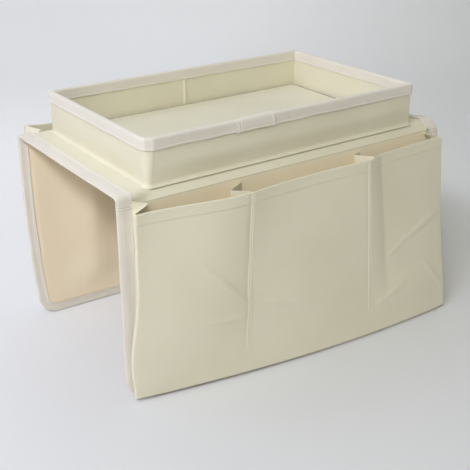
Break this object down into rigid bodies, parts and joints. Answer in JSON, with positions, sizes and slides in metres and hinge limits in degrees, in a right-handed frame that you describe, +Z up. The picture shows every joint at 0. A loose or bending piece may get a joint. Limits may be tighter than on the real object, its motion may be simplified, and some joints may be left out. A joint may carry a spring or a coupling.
{
  "type": "sofa armrest organizer",
  "caption": "Cloth saddle for a sofa's arm, with an open tray on top and a stiffened flap with a gusseted pocket down each side.",
  "frame": {"origin": "on the floor that the hems stand on, under the middle of the whole organizer's box", "axes": "+X along the tray's long side, to the right in the picture; +Y to the rear flap; +Z up"},
  "size_m": [0.367, 0.2752, 0.2305],
  "materials": {
    "cover_cloth": "matt cream coated oxford cloth",
    "lining_cloth": "matt tan nonwoven lining",
    "binding_tape": "matt off-white ribbed binding tape",
    "board": "matt grey board"
  },
  "bodies": {
    "saddle": {"top_cover": "cover_cloth", "top_board": "board", "top_lining": "lining_cloth", "left_end_tape": "binding_tape", "right_end_tape": "binding_tape", "tray_outer_cover": "cover_cloth", "tray_lining": "cover_cloth", "tray_left_board": "board", "tray_right_board": "board", "tray_front_board": "board", "tray_rear_board": "board", "rim_tape": "binding_tape"},
    "insert": {"insert_board": "board", "insert_cover": "cover_cloth"},
    "front_flap": {"front_flap_cover": "cover_cloth", "front_flap_stiffener": "board", "front_flap_lining": "lining_cloth", "front_flap_tape": "binding_tape", "front_pocket_left_gusset": "cover_cloth", "front_pocket_right_gusset": "cover_cloth", "front_pocket_divider_1": "cover_cloth", "front_pocket_divider_2": "cover_cloth", "front_pocket_floor": "cover_cloth"},
    "front_pocket": {"front_pocket_panel": "cover_cloth"},
    "rear_flap": {"rear_flap_cover": "cover_cloth", "rear_flap_stiffener": "board", "rear_flap_lining": "lining_cloth", "rear_flap_tape": "binding_tape", "rear_pocket_left_gusset": "cover_cloth", "rear_pocket_right_gusset": "cover_cloth", "rear_pocket_divider_1": "cover_cloth", "rear_pocket_divider_2": "cover_cloth", "rear_pocket_floor": "cover_cloth"},
    "rear_pocket": {"rear_pocket_panel": "cover_cloth"}
  },
  "joints": [
    {"name": "front_flap_fold", "type": "hinge", "parent": "saddle", "child": "front_flap", "pos_m": [0, -0.08939, 0.18835], "axis": [-1, 0, 0], "range_deg": [-22, 90]},
    {"name": "rear_flap_fold", "type": "hinge", "parent": "saddle", "child": "rear_flap", "pos_m": [0, 0.10291, 0.18835], "axis": [1, 0, 0], "range_deg": [-22, 90]},
    {"name": "front_pocket_open", "type": "hinge", "parent": "front_flap", "child": "front_pocket", "pos_m": [0, -0.11774, 0.0104], "axis": [0.9941, -0.1085, 0], "range_deg": [0, 5]},
    {"name": "rear_pocket_open", "type": "hinge", "parent": "rear_flap", "child": "rear_pocket", "pos_m": [0, 0.10326, 0.0104], "axis": [-1, 0.0057, 0], "range_deg": [0, 5]},
    {"name": "floor_board_lift", "type": "slide", "parent": "saddle", "child": "insert", "axis": [0, 0, 1], "range_m": [0, 0.06]}
  ]
}
